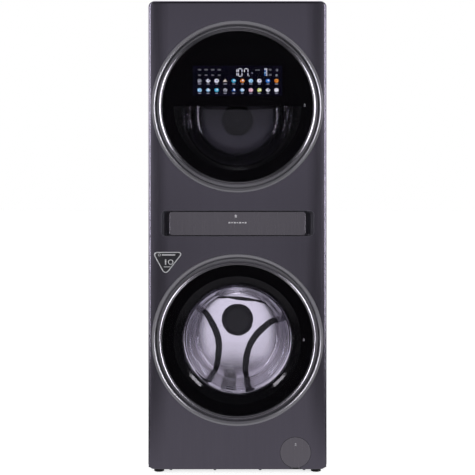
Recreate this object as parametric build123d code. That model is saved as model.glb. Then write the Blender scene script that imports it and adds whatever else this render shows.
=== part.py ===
"""Washer with a dryer stacked on it. Millimetres, +Z up, front towards -Y, origin under its middle."""

from build123d import *
import math
import os

# Overall size
WIDTH = 600.0
HEIGHT = 1590.0
DEPTH = 650.0
FRONT_Y = -DEPTH / 2 + 12.0  # face of the front panel, 12 mm behind the door rims
DOOR_FRONT_Y = -DEPTH / 2
BACK_Y = DEPTH / 2 - 25.0  # outside of the rear panel, 25 mm ahead of the spigot ends
SHEET = 1.2
HALF_INSIDE = WIDTH / 2 - SHEET

# Front panel
PANEL_BOTTOM = 14.0
PANEL_TOP = 1587.0
PANEL_DEPTH = 25.0
PANEL_CORNER = 19.0
PANEL_EDGE = 9.0
CROWN_X = 232.0  # the panel is flat up to here, then curves back towards both sides
CROWN_R = 300.0
PANEL_REAR_Y = FRONT_Y + PANEL_DEPTH

# Door and drum centres
LOWER_Z = 450.0
UPPER_Z = 1232.5
DRYER_Z = 1210.0  # the dryer drum and its bowl sit lower than the upper door
DOORS = {"lower": (LOWER_Z, LOWER_Z), "upper": (UPPER_Z, DRYER_Z)}

# Door surround
LIP_R = 288.0
LIP_ROUND = 13.0  # the lip rolls inwards in one broad round
SKIRT_END_Y = FRONT_Y + 14.0  # the lip's outer wall reaches back through the crowned panel
SLOPE_R = 272.0
FLOOR_Y = FRONT_Y + 22.0
FLOOR_BACK_Y = FLOOR_Y + 2.5
MOUTH_R = 205.0
MOUTH_WALL = 3.0
COLLAR_END_Y = FLOOR_Y + 18.0

# Door
BEZEL_R = 263.0
BEZEL_BORE = 252.3
GLASS_R = 252.1
RIM_BACK_Y = DOOR_FRONT_Y + 25.0
GLASS_FRONT_Y = DOOR_FRONT_Y + 1.5
GLASS_THICK = 4.0
FRAME_FRONT_Y = GLASS_FRONT_Y + GLASS_THICK
FUNNEL_R = 214.0
BOWL_SEAT_R = 186.0
BOWL_FLANGE_R = 197.0
BOWL_REAR_Y = -191.0

# Door hinge
HINGE_X = -256.0
HINGE_Y = -312.0
HINGE_PIN_R = 3.0
KNUCKLE_R = 5.5
KNUCKLE_HALF = 12.0
HINGE_HALF = 31.0
RUNNING = 0.05  # radial clearance of a shaft in its bore

# Latch
HOOK_X = 238.0
HOOK_Y = -303.0

# Drawer
DRAWER_Z = 840.5
RECESS_W = 515.0
RECESS_H = 88.0
RECESS_CORNER = 17.0
RECESS_FLOOR_Y = FRONT_Y + 32.0
DRAWER_W = 456.0
DRAWER_H = 79.0

# Pump filter
FILTER_X = 194.5
FILTER_Z = 72.7
FLAP_R = 51.0
FLAP_AXIS_Y = FRONT_Y + 1.6
FLAP_AXIS_Z = FILTER_Z - FLAP_R - 2.5
FLAP_PIN_R = 1.2
FLAP_KNUCKLE_R = 2.2

# Washer
TUB_R = 264.0
TUB_WALL = 4.0
TUB_FRONT_Y = -222.0
TUB_JOINT_Y = -90.0
TUB_BACK_Y = 172.0
WASHER_DRUM_R = 244.0
WASHER_DRUM_FRONT_Y = -200.0
WASHER_DRUM_BACK_Y = 150.0
WASHER_SHAFT_R = 15.0
LIFTER_TURN = -8.0  # the drum stops with its lowest lifter a little to the left
DAMPER_X = 170.0
SPRING_X = 240.0
HANGER_Y = -20.0

# Dryer
DRYER_DRUM_R = 262.0
DRYER_DRUM_FRONT_Y = -214.0
DRYER_DRUM_BACK_Y = 220.0
DRYER_SHAFT_R = 10.0
SHELF_Z = 898.0
SHELF_TOP = SHELF_Z + 1.5
ROLLER_X = 122.0
ROLLER_R = 26.5
ROLLER_Z = DRYER_Z - math.sqrt((DRYER_DRUM_R + ROLLER_R + 0.5) ** 2 - ROLLER_X**2)
MOTOR_X = 225.0
MOTOR_Z = 965.0
PULLEY_R = 18.0
BELT_GAP = 0.3
BELT_THICK = 3.0

# Feet and rear fittings
FOOT_X = 265.6
FOOT_FRONT_Y = -268.0
FOOT_REAR_Y = 272.0
REAR_SCREW_X = 291.0
REAR_SCREW_Z = [80.0, 430.0, 780.0, 1130.0, 1480.0]
FRONT_SCREW_X = [-224.0, -76.0, 76.0, 224.0]
FRONT_SCREW_Y = FRONT_Y + 14.0
INLET_X = -200.0
INLET_Z = 825.0
DRAIN_X = 258.0
GLAND_X = 230.0
GLAND_Z = 1500.0


def block(x0, x1, y0, y1, z0, z1):
    return Pos((x0 + x1) / 2, (y0 + y1) / 2, (z0 + z1) / 2) * Box(x1 - x0, y1 - y0, z1 - z0)


def rod_x(radius, x0, x1, y, z):
    return Pos((x0 + x1) / 2, y, z) * Rot(0, 90, 0) * Cylinder(radius, x1 - x0)


def rod_y(radius, y0, y1, x=0.0, z=0.0):
    return Pos(x, (y0 + y1) / 2, z) * Rot(90, 0, 0) * Cylinder(radius, y1 - y0)


def rod_z(radius, z0, z1, x, y):
    return Pos(x, y, (z0 + z1) / 2) * Cylinder(radius, z1 - z0)


def ring_y(outer, inner, y0, y1, x=0.0, z=0.0):
    return rod_y(outer, y0, y1, x, z) - rod_y(inner, y0 - 1, y1 + 1, x, z)


def turned(points, z=0.0, x=0.0):
    """A closed profile of (radius, y) points, turned about the Y direction."""
    return Pos(x, 0, z) * revolve(make_face(Polyline(*points, close=True)), Axis.Y)


def rounded_plate(width, height, corner, y0, y1, x=0.0, z=0.0):
    return Pos(x, y1, z) * Rot(90, 0, 0) * extrude(RectangleRounded(width, height, corner), y1 - y0)


def extrude_y(sketch, y0, y1):
    """A sketch drawn with X right and Y up, extruded along the depth."""
    return Pos(0, y1, 0) * Rot(90, 0, 0) * extrude(sketch, y1 - y0)


def around(shape, count, z, start=0.0):
    """Copies of a shape turned about the horizontal axis at height z."""
    turns = [start + 360.0 * i / count for i in range(count)]
    return [Pos(0, 0, z) * Rot(0, turn, 0) * Pos(0, 0, -z) * shape for turn in turns]


def front_edges(shape, y):
    return shape.edges().filter_by(lambda e: abs(e.center().Y - y) < 0.01)


# Cabinet


def panel_solid(inset):
    """The front panel's outer form, smaller all round by the inset: flat, then crowned to both sides."""
    half, face = WIDTH / 2 - inset, FRONT_Y + inset
    rear = PANEL_REAR_Y + (1.0 if inset else 0.0)
    height = PANEL_TOP - PANEL_BOTTOM - 2 * inset
    middle = (half + CROWN_X) / 2

    def crown_y(x):
        return FRONT_Y + CROWN_R - math.sqrt((CROWN_R - inset) ** 2 - (x - CROWN_X) ** 2)

    edge_y = crown_y(half)
    plan = [
        Line((-half, rear), (-half, edge_y)),
        ThreePointArc((-half, edge_y), (-middle, crown_y(middle)), (-CROWN_X, face)),
        Line((-CROWN_X, face), (CROWN_X, face)),
        ThreePointArc((CROWN_X, face), (middle, crown_y(middle)), (half, edge_y)),
        Line((half, edge_y), (half, rear)),
        Line((half, rear), (-half, rear)),
    ]
    body = Pos(0, 0, PANEL_BOTTOM + inset) * extrude(make_face(Curve() + plan), height)
    outline_z = (PANEL_TOP + PANEL_BOTTOM) / 2
    body &= rounded_plate(2 * half, height, PANEL_CORNER - inset, FRONT_Y - 5, rear, z=outline_z)

    def on_rim(edge):
        crown_start = edge.length > height / 2 and abs(abs(edge.center().X) - CROWN_X) < 1
        return edge.center().Y < edge_y + 0.6 and not crown_start

    return fillet(body.edges().filter_by(on_rim), PANEL_EDGE - inset)


def front_panel():
    panel = panel_solid(0.0) - panel_solid(SHEET)
    for door_z, _ in DOORS.values():
        panel -= rod_y(LIP_R + 0.4, FRONT_Y - 1, PANEL_REAR_Y, z=door_z)
    panel -= rounded_plate(RECESS_W, RECESS_H, RECESS_CORNER, FRONT_Y - 1, FRONT_Y + 3, z=DRAWER_Z)
    panel -= rod_y(FLAP_R + 1.2, FRONT_Y - 1, FRONT_Y + 3, FILTER_X, FILTER_Z)
    panel -= block(FILTER_X - 17.5, FILTER_X + 17.5, FRONT_Y - 1, FRONT_Y + 7, 16.2, 23.0)
    for x in FRONT_SCREW_X:
        panel -= rod_z(2.2, PANEL_BOTTOM - 1, PANEL_BOTTOM + 3, x, FRONT_SCREW_Y)
    return panel


def side_panel(side):
    """A sheet with front and rear flanges and the hanger for one tub spring."""
    inner, flange = HALF_INSIDE, HALF_INSIDE - 12.8
    bottom, top = 16.0, 1559.5
    front, rear = PANEL_REAR_Y + 0.5, BACK_Y - SHEET - 0.1
    panel = block(inner, WIDTH / 2, front, BACK_Y, bottom, top)
    panel += block(flange, inner, front, front + SHEET, bottom, top)
    panel += block(flange, inner, rear - SHEET, rear, bottom, top)
    panel += block(SPRING_X - 8, inner, HANGER_Y - 12, HANGER_Y + 12, 776.0, 780.0)
    for z in REAR_SCREW_Z:
        panel -= rod_y(2.2, rear - 3, rear + 1, REAR_SCREW_X, z)
    return panel if side > 0 else mirror(panel, about=Plane.YZ)


def top_cover():
    bottom, corner, wall = 1560.0, 20.0, 1.5
    front = PANEL_REAR_Y + 0.5
    cover = block(-WIDTH / 2, WIDTH / 2, front, BACK_Y, bottom, HEIGHT)
    long_edges = cover.edges().filter_by(Axis.Y).group_by(Axis.Z)[-1]
    cover = fillet(long_edges, corner)
    half = WIDTH / 2 - wall
    hollow = block(-half, half, front + wall, BACK_Y - wall, bottom - 1, HEIGHT - wall)
    hollow = fillet(hollow.edges().filter_by(Axis.Y).group_by(Axis.Z)[-1], corner - wall)
    return cover - hollow


def rear_panel():
    """The back sheet with its louvres, the holes for the fittings and the dryer drum's bearing boss."""
    front = BACK_Y - SHEET
    half = HALF_INSIDE - 0.1
    panel = block(-half, half, front, BACK_Y, 17.6, 1559.5)
    for x in (-130.0, 0.0, 130.0):
        for row in range(12):
            z = 1340.0 + 14.0 * row
            panel -= rounded_plate(100.0, 5.0, 2.4, front - 1, BACK_Y + 1, x, z)
    panel -= rod_y(14.0, front - 1, BACK_Y + 1, INLET_X, INLET_Z)
    panel -= rod_y(10.5, front - 1, BACK_Y + 1, DRAIN_X, FILTER_Z)
    panel -= rod_y(8.0, front - 1, BACK_Y + 1, GLAND_X, GLAND_Z)
    for side in (-1, 1):
        for z in REAR_SCREW_Z:
            panel -= rod_y(2.2, front - 1, BACK_Y + 1, side * REAR_SCREW_X, z)
    boss_front = DRYER_DRUM_BACK_Y + 24.0
    panel += ring_y(25.0, DRYER_SHAFT_R + RUNNING, boss_front, front, z=DRYER_Z)
    return panel


def base_tray():
    half, front, back, wall, rim = 284.0, -285.0, 296.0, 1.5, 40.0
    tray = block(-half, half, front, back, 16.0, rim)
    tray -= block(-half + wall, half - wall, front + wall, back - wall, 16.0 + wall, rim + 1)
    tray -= block(FILTER_X - 42, FILTER_X + 42, front - 1, front + wall + 1, 17.5, rim + 1)
    for x in (-FOOT_X, FOOT_X):
        for y in (FOOT_FRONT_Y, FOOT_REAR_Y):
            tray -= rod_z(5.5, 15.0, 19.0, x, y)
    return tray


def middle_shelf():
    """The shelf under the dryer, with its two roller brackets and their axles welded on."""
    half = HALF_INSIDE - 0.1
    shelf = block(-half, half, -285.0, 296.0, SHELF_Z, SHELF_TOP)
    for x in (-ROLLER_X, ROLLER_X):
        shelf += block(x - 9, x + 9, -162.0, -158.0, SHELF_TOP, ROLLER_Z + 9)
        shelf += rod_y(6.0, -190.0, -158.0, x, ROLLER_Z)
    return shelf


def foot(x, y):
    """A levelling foot: a round pad, a hexagon for the spanner and a stud."""
    profile = make_face(Polyline((0, 0), (17, 0), (17, 5), (14, 8), (8, 10), (0, 10), close=True))
    pad = Pos(x, y, 0) * revolve(Rot(90, 0, 0) * profile, Axis.Z)
    hexagon = Pos(x, y, 10.0) * extrude(RegularPolygon(9.0, 6), 5.0)
    return pad + hexagon + rod_z(5.0, 15.0, 48.0, x, y)


def panel_screws():
    screws = []
    for x in FRONT_SCREW_X:
        head = rod_z(4.5, PANEL_BOTTOM - 3.5, PANEL_BOTTOM, x, FRONT_SCREW_Y)
        screws.append(head + rod_z(2.0, PANEL_BOTTOM, PANEL_BOTTOM + 9, x, FRONT_SCREW_Y))
    for side in (-1, 1):
        for z in REAR_SCREW_Z:
            head = rod_y(4.5, BACK_Y, BACK_Y + 2.5, side * REAR_SCREW_X, z)
            screws.append(head + rod_y(2.0, BACK_Y - 10, BACK_Y, side * REAR_SCREW_X, z))
    return Compound(children=screws)


# Door surrounds, hinges and locks


def door_surround(door_z, bowl_z):
    """The ring the door closes into: rolled lip, straight wall, floor and the collar round the mouth."""
    ring = turned(
        [
            (LIP_R, SKIRT_END_Y),
            (LIP_R, FRONT_Y - 2.0),
            (LIP_R - 1.2, FRONT_Y - 3.2),
            (SLOPE_R, FRONT_Y - 3.2),
            (SLOPE_R, FLOOR_Y),
            (MOUTH_R - 40, FLOOR_Y),
            (MOUTH_R - 40, FLOOR_BACK_Y),
            (SLOPE_R + 3.5, FLOOR_BACK_Y),
            (SLOPE_R + 3.5, FRONT_Y + 12.0),
            (LIP_R - 2.2, FRONT_Y + 1.0),
            (LIP_R - 2.2, SKIRT_END_Y),
        ],
        door_z,
    )
    inner_rim = ring.edges().filter_by(
        lambda e: abs(e.length - 2 * math.pi * SLOPE_R) < 0.1 and e.center().Y < FRONT_Y - 3
    )
    ring = fillet(inner_rim, LIP_ROUND)
    ring -= rod_y(MOUTH_R, FLOOR_Y - 1, FLOOR_BACK_Y + 1, z=bowl_z)
    ring += ring_y(MOUTH_R + MOUTH_WALL, MOUTH_R, FLOOR_Y, COLLAR_END_Y, z=bowl_z)
    ring -= block(HINGE_X - 6, HINGE_X + 7, FLOOR_Y - 1, FLOOR_BACK_Y + 1, door_z - 16, door_z + 16)
    ring -= block(HOOK_X - 12, HOOK_X + 14, FLOOR_Y - 1, FLOOR_BACK_Y + 1, door_z - 18, door_z + 18)
    return ring


def hinge_brackets():
    """Both fixed hinge halves, each a plate with an arm, a knuckle and its pin."""
    brackets = []
    for door_z, _ in DOORS.values():
        low, high = door_z - KNUCKLE_HALF, door_z + KNUCKLE_HALF
        bracket = block(-280.0, -236.0, FLOOR_BACK_Y, FLOOR_BACK_Y + 3, door_z - 30, door_z + 30)
        bracket += block(HINGE_X + 0.5, HINGE_X + 5.5, HINGE_Y, FLOOR_BACK_Y + 1, low, high)
        bracket += rod_z(KNUCKLE_R, low, high, HINGE_X, HINGE_Y)
        bracket += rod_z(HINGE_PIN_R, door_z - HINGE_HALF, door_z + HINGE_HALF, HINGE_X, HINGE_Y)
        brackets.append(bracket)
    return Compound(children=brackets)


def door_locks():
    """Both lock cases behind the right side of the surrounds, open where the hook comes in."""
    locks = []
    for door_z, _ in DOORS.values():
        lock = block(HOOK_X - 16, HOOK_X + 20, FLOOR_BACK_Y, -264.0, door_z - 32, door_z + 32)
        lock -= block(HOOK_X - 12, HOOK_X + 14, FLOOR_BACK_Y - 1, -268.0, door_z - 18, door_z + 18)
        locks.append(lock)
    return Compound(children=locks)


# Doors


def hinge_notch(door_z):
    return block(-275.0, HINGE_X + 12, HINGE_Y - 6.2, RIM_BACK_Y + 8, door_z - 34, door_z + 34)


def latch_pocket(door_z):
    return block(HOOK_X - 12, HOOK_X + 8, -312.0, RIM_BACK_Y + 8, door_z - 12, door_z + 12)


def door_bezel(door_z, bowl_z):
    """The bright rim round the door, with two rolled beads at the front."""
    front = DOOR_FRONT_Y
    rim = turned(
        [
            (BEZEL_R, RIM_BACK_Y),
            (BEZEL_R, front + 3.6),
            (BEZEL_R - 1.4, front + 0.9),
            (BEZEL_R - 3.4, front),
            (BEZEL_R - 5.2, front + 1.0),
            (BEZEL_R - 5.8, front + 1.8),
            (BEZEL_R - 6.4, front + 1.0),
            (BEZEL_R - 8.0, front),
            (BEZEL_R - 9.6, front + 0.6),
            (BEZEL_BORE, front + 2.4),
            (BEZEL_BORE, RIM_BACK_Y),
        ],
        door_z,
    )
    return rim - hinge_notch(door_z)


def door_glass(door_z, bowl_z):
    return rod_y(GLASS_R, GLASS_FRONT_Y, FRAME_FRONT_Y, z=door_z)


def door_frame(door_z, bowl_z):
    """The moulded body of the door: bowl funnel, hinge knuckles and the latch pocket with its pin."""
    frame = rod_y(GLASS_R, FRAME_FRONT_Y, RIM_BACK_Y, z=door_z)
    frame -= turned(
        [
            (0, FRAME_FRONT_Y - 1),
            (FUNNEL_R + 1, FRAME_FRONT_Y - 1),
            (FUNNEL_R, FRAME_FRONT_Y),
            (200.0, FRAME_FRONT_Y + 6),
            (191.0, FRAME_FRONT_Y + 12),
            (BOWL_SEAT_R, RIM_BACK_Y - 1),
            (BOWL_SEAT_R, RIM_BACK_Y + 1),
            (0, RIM_BACK_Y + 1),
        ],
        bowl_z,
    )
    frame -= hinge_notch(door_z)
    frame -= latch_pocket(door_z)
    frame += rod_z(2.5, door_z - 12, door_z + 12, HOOK_X, HOOK_Y)
    for low, high in ((KNUCKLE_HALF + 1, HINGE_HALF - 1), (-HINGE_HALF + 1, -KNUCKLE_HALF - 1)):
        frame += block(HINGE_X, HINGE_X + 13, HINGE_Y - 4, HINGE_Y + 5, door_z + low, door_z + high)
        frame += rod_z(KNUCKLE_R, door_z + low, door_z + high, HINGE_X, HINGE_Y)
    frame -= rod_z(HINGE_PIN_R + RUNNING, door_z - 33, door_z + 33, HINGE_X, HINGE_Y)
    return frame


def door_bowl(door_z, bowl_z):
    """The glass bowl, a flanged cone with a nearly flat end that reaches into the drum's mouth."""
    flange_back = RIM_BACK_Y + 5.0
    return turned(
        [
            (0, BOWL_REAR_Y),
            (138.0, BOWL_REAR_Y - 4),
            (147.0, BOWL_REAR_Y - 8),
            (151.0, BOWL_REAR_Y - 15),
            (181.0, flange_back + 7),
            (184.0, flange_back),
            (BOWL_FLANGE_R, flange_back),
            (BOWL_FLANGE_R, RIM_BACK_Y),
            (180.0, RIM_BACK_Y),
            (176.0, flange_back + 5),
            (146.0, BOWL_REAR_Y - 17),
            (142.0, BOWL_REAR_Y - 12),
            (136.0, BOWL_REAR_Y - 9),
            (0, BOWL_REAR_Y - 5),
        ],
        bowl_z,
    )


def door_rear_ring(door_z, bowl_z):
    """The ring on the door's inner side that clamps the bowl's flange."""
    ring = turned(
        [
            (240.0, RIM_BACK_Y),
            (240.0, RIM_BACK_Y + 6),
            (237.0, RIM_BACK_Y + 7),
            (187.0, RIM_BACK_Y + 7),
            (187.0, RIM_BACK_Y + 5),
            (BOWL_FLANGE_R + 0.2, RIM_BACK_Y + 5),
            (BOWL_FLANGE_R + 0.2, RIM_BACK_Y),
        ],
        bowl_z,
    )
    ring &= rod_y(246.0, RIM_BACK_Y - 1, RIM_BACK_Y + 8, z=door_z)
    return ring - latch_pocket(door_z)


def latch_hook(door_z):
    """A sprung hook on a pin across the door's latch pocket."""
    shank = block(HOOK_X - 4, HOOK_X + 4, HOOK_Y, HOOK_Y + 28, door_z - 5, door_z + 5)
    barb = block(HOOK_X - 9, HOOK_X + 4, HOOK_Y + 25, HOOK_Y + 31, door_z - 5, door_z + 5)
    eye = rod_z(5.0, door_z - 5, door_z + 5, HOOK_X, HOOK_Y)
    return shank + barb + eye - rod_z(2.5 + RUNNING, door_z - 6, door_z + 6, HOOK_X, HOOK_Y)


def display_module():
    """The lit panel behind the upper half of the upper door's glass."""
    board = block(-145.0, 145.0, FRAME_FRONT_Y, FRAME_FRONT_Y + 9, UPPER_Z + 8, UPPER_Z + 135)
    return board & rod_y(192.0, FRAME_FRONT_Y - 1, FRAME_FRONT_Y + 10, z=DRYER_Z)


# Drawer and water


def dispenser_housing():
    """The recess in the front with its two finger scoops, and the box that the drawer slides in."""
    wall, floor = 2.0, RECESS_FLOOR_Y
    outer_w, outer_h, corner = RECESS_W - 0.4, RECESS_H - 0.4, RECESS_CORNER - 0.2
    inner_w, inner_h = outer_w - 2 * wall, outer_h - 2 * wall
    housing = rounded_plate(outer_w, outer_h, corner, FRONT_Y, floor, z=DRAWER_Z)
    housing -= rounded_plate(inner_w, inner_h, corner - wall, FRONT_Y - 1, floor - wall, z=DRAWER_Z)
    scoop_x, scoop_r = 225.0, 30.0
    for side in (-1, 1):
        x0, x1 = sorted((side * scoop_x, side * inner_w / 2))
        ramp = block(x0, x1, FRONT_Y, floor - wall, DRAWER_Z - inner_h / 2, DRAWER_Z + inner_h / 2)
        ramp -= rod_z(scoop_r, DRAWER_Z - 50, DRAWER_Z + 50, side * scoop_x, FRONT_Y - 5)
        ramp &= rounded_plate(RECESS_W - 2, RECESS_H - 2, RECESS_CORNER - 1, FRONT_Y, floor, z=DRAWER_Z)
        housing += ramp
    beyond = block(-outer_w, outer_w, FRONT_Y - 5, PANEL_REAR_Y, DRAWER_Z - outer_h, DRAWER_Z + outer_h)
    housing -= beyond - panel_solid(0.0)
    housing += block(-222.0, 222.0, floor - wall, 20.0, DRAWER_Z - 35.5, DRAWER_Z + 35.5)
    housing -= block(-220.0, 220.0, floor - wall - 1, 18.0, DRAWER_Z - 33.5, DRAWER_Z + 33.5)
    return housing


def detergent_drawer():
    low, high = DRAWER_Z - 32.0, DRAWER_Z + 28.0
    front, back = FRONT_Y + 8.0, 10.0
    tray = block(-217.0, 217.0, front, back, low, high)
    for x0, x1 in ((-214.0, -75.0), (-72.0, 70.0), (73.0, 214.0)):
        tray -= block(x0, x1, front + 5, back - 3, low + 2.5, high + 1)
    return tray


def drawer_front():
    plate = rounded_plate(DRAWER_W, DRAWER_H, 10.0, FRONT_Y, FRONT_Y + 8.0, z=DRAWER_Z)
    return fillet(front_edges(plate, FRONT_Y), 1.5)


def inlet_valve():
    back = BACK_Y - SHEET
    valve = block(INLET_X - 25, INLET_X + 25, back - 45, back, INLET_Z - 25, INLET_Z + 25)
    valve += rod_y(19.0, BACK_Y, BACK_Y + 3, INLET_X, INLET_Z)
    valve += rod_y(13.2, back, DEPTH / 2, INLET_X, INLET_Z)
    return valve - rod_y(8.0, back - 30, DEPTH / 2 + 1, INLET_X, INLET_Z)


def cord_gland():
    gland = rod_y(7.9, BACK_Y - 10, BACK_Y, GLAND_X, GLAND_Z)
    gland += rod_y(12.0, BACK_Y, BACK_Y + 4, GLAND_X, GLAND_Z)
    return gland - rod_y(4.2, BACK_Y - 11, BACK_Y + 5, GLAND_X, GLAND_Z)


def drain_pump():
    """The pump, its filter housing, the collar behind the front panel and the outlet pipe to the rear."""
    seat = -286.0
    pump = ring_y(56.0, 54.0, FRONT_Y, seat - 2, FILTER_X, FILTER_Z) & panel_solid(SHEET + 0.3)
    pump += rod_y(56.0, seat - 3, seat, FILTER_X, FILTER_Z)
    pump += rod_y(34.0, seat - 3, -196.0, FILTER_X, FILTER_Z)
    pump += rod_y(28.0, -196.0, -130.0, FILTER_X, FILTER_Z)
    pump += rod_x(10.0, FILTER_X + 30, DRAIN_X, -215.0, FILTER_Z)
    pump += rod_y(10.0, -225.0, DEPTH / 2, DRAIN_X, FILTER_Z)
    pump += rod_y(15.0, BACK_Y, BACK_Y + 3, DRAIN_X, FILTER_Z)
    pump -= rod_y(29.0, seat - 4, -200.0, FILTER_X, FILTER_Z)
    pump -= rod_y(7.0, -215.0, DEPTH / 2 + 1, DRAIN_X, FILTER_Z)
    pump -= rod_x(7.0, FILTER_X + 20, DRAIN_X, -215.0, FILTER_Z)
    pump -= rod_x(FLAP_KNUCKLE_R + 0.5, FILTER_X - 18, FILTER_X + 18, FLAP_AXIS_Y, FLAP_AXIS_Z)
    pump += block(FILTER_X - 8, FILTER_X + 8, FLAP_AXIS_Y, -300.0, FLAP_AXIS_Z - 1.2, FLAP_AXIS_Z + 1.2)
    pump += rod_x(FLAP_KNUCKLE_R, FILTER_X - 8, FILTER_X + 8, FLAP_AXIS_Y, FLAP_AXIS_Z)
    return pump + rod_x(FLAP_PIN_R, FILTER_X - 17, FILTER_X + 17, FLAP_AXIS_Y, FLAP_AXIS_Z)


def filter_flap():
    flap = rod_y(FLAP_R, FRONT_Y, FRONT_Y + 2.5, FILTER_X, FILTER_Z)
    for x in (FILTER_X - 12.5, FILTER_X + 12.5):
        flap += block(x - 3, x + 3, FLAP_AXIS_Y - 1.2, FRONT_Y + 2.5, FLAP_AXIS_Z, FLAP_AXIS_Z + 7)
        flap += rod_x(FLAP_KNUCKLE_R, x - 3, x + 3, FLAP_AXIS_Y, FLAP_AXIS_Z)
    return flap - rod_x(FLAP_PIN_R + RUNNING, FILTER_X - 20, FILTER_X + 20, FLAP_AXIS_Y, FLAP_AXIS_Z)


def filter_plug():
    """The screw-in filter: a dished cap with a grip bar across it, and the strainer behind."""
    plug = rod_y(33.0, -296.0, -289.3, FILTER_X, FILTER_Z)
    plug += rod_y(28.5, -289.3, -215.0, FILTER_X, FILTER_Z)
    plug -= rod_y(25.0, -297.0, -281.0, FILTER_X, FILTER_Z)
    plug += block(FILTER_X - 27, FILTER_X + 27, -297.5, -280.5, FILTER_Z - 4, FILTER_Z + 4)
    plug -= rod_y(25.0, -270.0, -214.0, FILTER_X, FILTER_Z)
    for turn in range(0, 180, 30):
        slot = block(FILTER_X - 40, FILTER_X + 40, -262.0, -225.0, FILTER_Z - 4, FILTER_Z + 4)
        plug -= Pos(FILTER_X, 0, FILTER_Z) * Rot(0, turn, 0) * Pos(-FILTER_X, 0, -FILTER_Z) * slot
    return plug


# Washer


def washer_gasket():
    """The rubber bellows between the surround's collar and the tub, with its lip at the bowl."""
    folds = [(188, -288), (199, -284), (202, -270), (193, -256), (200, -244), (203, -226), (203, -216)]
    bellows = revolve(trace(Polyline(*folds), 2.8), Axis.Y)
    clamp = ring_y(212.0, MOUTH_R + MOUTH_WALL, FLOOR_BACK_Y, COLLAR_END_Y + 4)
    web = ring_y(212.0, 202.5, COLLAR_END_Y + 0.2, COLLAR_END_Y + 4)
    return Pos(0, 0, LOWER_Z) * (bellows + clamp + web)


def tub_front():
    inner, flange = TUB_R - TUB_WALL, TUB_R + 8
    return turned(
        [
            (204.6, TUB_FRONT_Y),
            (TUB_R, TUB_FRONT_Y),
            (TUB_R, TUB_JOINT_Y - 8),
            (flange, TUB_JOINT_Y - 8),
            (flange, TUB_JOINT_Y),
            (inner, TUB_JOINT_Y),
            (inner, TUB_FRONT_Y + TUB_WALL),
            (204.6, TUB_FRONT_Y + TUB_WALL),
        ],
        LOWER_Z,
    )


def tub_rear():
    """The rear half of the tub with its bearing hub, ribs, spring lugs and damper lugs."""
    inner, flange, hub, seat = TUB_R - TUB_WALL, TUB_R + 8, 50.0, 31.0
    wall_y = TUB_BACK_Y - TUB_WALL
    tub = turned(
        [
            (inner, TUB_JOINT_Y),
            (flange, TUB_JOINT_Y),
            (flange, TUB_JOINT_Y + 8),
            (TUB_R, TUB_JOINT_Y + 8),
            (TUB_R, TUB_BACK_Y),
            (hub, TUB_BACK_Y),
            (hub, TUB_BACK_Y + 44),
            (seat, TUB_BACK_Y + 44),
            (seat, TUB_BACK_Y),
            (WASHER_SHAFT_R + 2, TUB_BACK_Y),
            (WASHER_SHAFT_R + 2, wall_y),
            (inner, wall_y),
        ],
        LOWER_Z,
    )
    rib = block(hub - 2, TUB_R - 6, TUB_BACK_Y - 1, TUB_BACK_Y + 18, LOWER_Z - 2, LOWER_Z + 2)
    tub += around(rib, 12, LOWER_Z)
    bore = rod_y(TUB_R - 2, TUB_JOINT_Y, TUB_BACK_Y, z=LOWER_Z)
    for side in (-1, 1):
        x0, x1 = sorted((side * (SPRING_X - 14), side * (SPRING_X + 4)))
        tub += block(x0, x1, HANGER_Y - 8, HANGER_Y + 8, 556.0, 600.0) - bore
        x0, x1 = sorted((side * (DAMPER_X - 14), side * (DAMPER_X + 14)))
        tub += block(x0, x1, HANGER_Y - 12, HANGER_Y + 12, 236.0, 262.0) - bore
    return tub


def counterweights():
    """Two cast arcs bolted to the front of the tub, above and below the mouth."""
    ring = ring_y(TUB_R - 2, 212.0, TUB_FRONT_Y - 40, TUB_FRONT_Y, z=LOWER_Z)
    return ring - block(-300, 300, TUB_FRONT_Y - 41, TUB_FRONT_Y + 1, LOWER_Z - 110, LOWER_Z + 110)


def tub_springs():
    coil_r, wire_r, low, high = 11.0, 1.5, 610.0, 765.0
    springs = []
    for x in (-SPRING_X, SPRING_X):
        height = high - low - 2 * (wire_r + 0.1)
        path = Helix(pitch=7.5, height=height, radius=coil_r)
        section = Plane(origin=path @ 0, z_dir=path % 0) * Circle(wire_r)
        coil = sweep(section, path=path, is_frenet=True)
        springs.append(Pos(x, HANGER_Y, low + wire_r + 0.1) * coil)
        springs.append(rod_z(12.5, 600.2, low, x, HANGER_Y))
        springs.append(rod_z(12.5, high, 775.8, x, HANGER_Y))
    return Compound(children=springs)


def damper_cylinders():
    tubes = []
    for x in (-DAMPER_X, DAMPER_X):
        tubes.append(rod_z(18.0, 17.5, 150.0, x, HANGER_Y) - rod_z(10.4, 34.0, 151.0, x, HANGER_Y))
    return Compound(children=tubes)


def damper_rods():
    return Compound(children=[rod_z(10.0, 70.0, 236.0, x, HANGER_Y) for x in (-DAMPER_X, DAMPER_X)])


def motor_stator():
    start = TUB_BACK_Y + 44.0
    core = ring_y(78.0, 33.0, start, start + 30, z=LOWER_Z)
    tooth = block(76.0, 118.0, start + 6, start + 28, LOWER_Z - 4, LOWER_Z + 4)
    return core + around(tooth, 24, LOWER_Z)


def motor_rotor():
    return turned(
        [
            (WASHER_SHAFT_R + 0.1, 254.0),
            (122.0, 254.0),
            (122.0, 218.0),
            (135.0, 218.0),
            (135.0, 258.0),
            (WASHER_SHAFT_R + 0.1, 258.0),
        ],
        LOWER_Z,
    )


def washer_bearings():
    starts = (TUB_BACK_Y + 2, TUB_BACK_Y + 26)
    bore = WASHER_SHAFT_R + RUNNING
    return Compound(children=[ring_y(31.0, bore, y, y + 16, z=LOWER_Z) for y in starts])


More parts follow.
